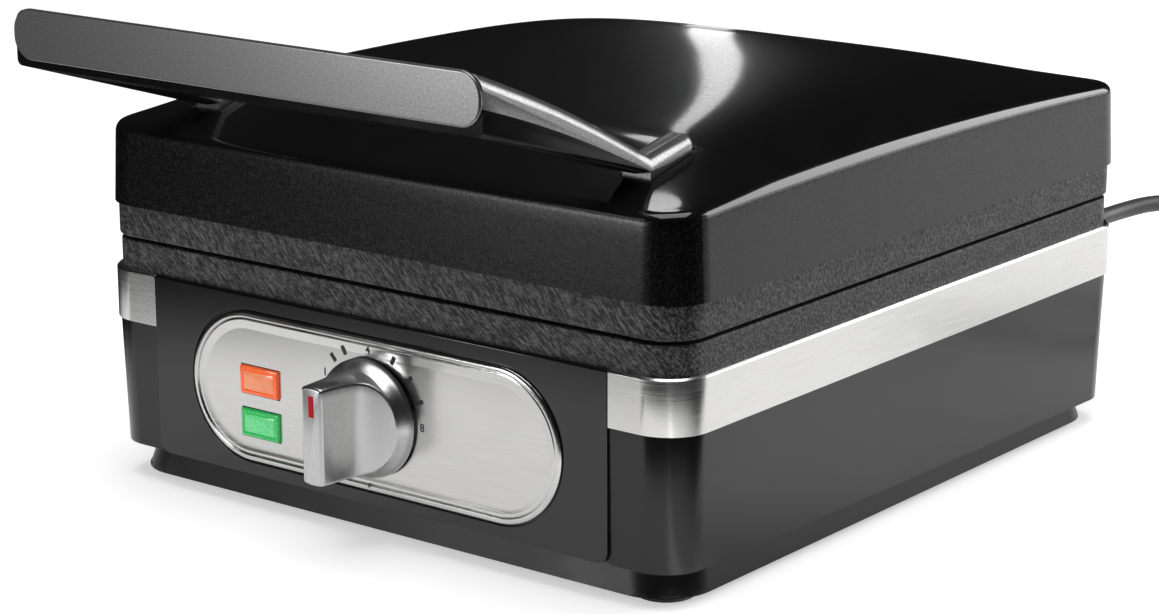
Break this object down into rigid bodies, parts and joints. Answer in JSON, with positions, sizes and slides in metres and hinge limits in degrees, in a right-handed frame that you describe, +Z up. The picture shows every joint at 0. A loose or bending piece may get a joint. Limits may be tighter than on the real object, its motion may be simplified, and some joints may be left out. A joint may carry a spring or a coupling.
{
  "type": "waffle maker",
  "caption": "Closed tabletop waffle maker with a domed hinged lid, bail handle, steel band, dial with two lamps and a mains cord.",
  "frame": {"origin": "centre of the footprint (handle and cord outlet included, free cord left out) at table level", "axes": "+Z up from the table; the dial and the handle face -Y; the hinges and the cord outlet are at +Y; +X is on the right of someone who faces the dial"},
  "size_m": [0.45, 0.569, 0.21],
  "materials": {
    "lid_gloss": "gloss",
    "body_satin": "satin",
    "collar_plastic": "satin",
    "brushed_steel": "brushed",
    "handle_satin": "satin",
    "black_plastic": "satin",
    "knob_silver": "satin",
    "pointer_red": "gloss",
    "lens_orange": "gloss",
    "lens_green": "gloss",
    "nonstick": "satin",
    "zinc_steel": "satin",
    "foot_rubber": "matte",
    "cord_rubber": "satin",
    "brass_pin": "satin",
    "white_plastic": "satin"
  },
  "bodies": {
    "base": {"base_housing": "body_satin", "bottom_cover": "body_satin", "rubber_feet": "foot_rubber", "bottom_screws": "zinc_steel", "steel_band": "brushed_steel", "control_fascia": "body_satin", "control_plate": "brushed_steel", "power_lens": "lens_orange", "ready_lens": "lens_green", "lamp_holders": "white_plastic", "thermostat_body": "white_plastic", "thermostat_bracket": "zinc_steel", "terminal_block": "white_plastic", "lower_collar": "collar_plastic", "lower_cooking_plate": "nonstick", "lower_heating_element": "zinc_steel", "lower_reflector": "zinc_steel", "lower_plate_screws": "zinc_steel", "base_hinge_left": "zinc_steel", "base_hinge_right": "zinc_steel", "hinge_pin_left": "zinc_steel", "hinge_pin_right": "zinc_steel", "base_hinge_screws": "zinc_steel", "cord_gland": "black_plastic", "mains_cord": "cord_rubber", "cord_coil": "cord_rubber", "plug_body": "black_plastic", "plug_pins": "brass_pin"},
    "lid": {"lid_shell": "lid_gloss", "upper_collar": "collar_plastic", "upper_cooking_plate": "nonstick", "upper_heating_element": "zinc_steel", "upper_reflector": "zinc_steel", "upper_plate_screws": "zinc_steel", "handle_shell": "handle_satin", "handle_underside": "black_plastic", "handle_grip_plate": "handle_satin", "handle_screws": "zinc_steel", "lid_hinge_left": "zinc_steel", "lid_hinge_right": "zinc_steel", "lid_hinge_screws": "zinc_steel"},
    "knob": {"temperature_knob": "knob_silver", "knob_pointer": "pointer_red", "thermostat_shaft": "zinc_steel"}
  },
  "joints": [
    {"name": "lid_hinge", "type": "hinge", "parent": "base", "child": "lid", "pos_m": [0, 0.195, 0.1027], "axis": [-1, 0, 0], "range_deg": [0, 100]},
    {"name": "dial_turn", "type": "hinge", "parent": "base", "child": "knob", "pos_m": [0, -0.16, 0.0505], "axis": [0, 1, 0], "range_deg": [-180, 90]}
  ]
}
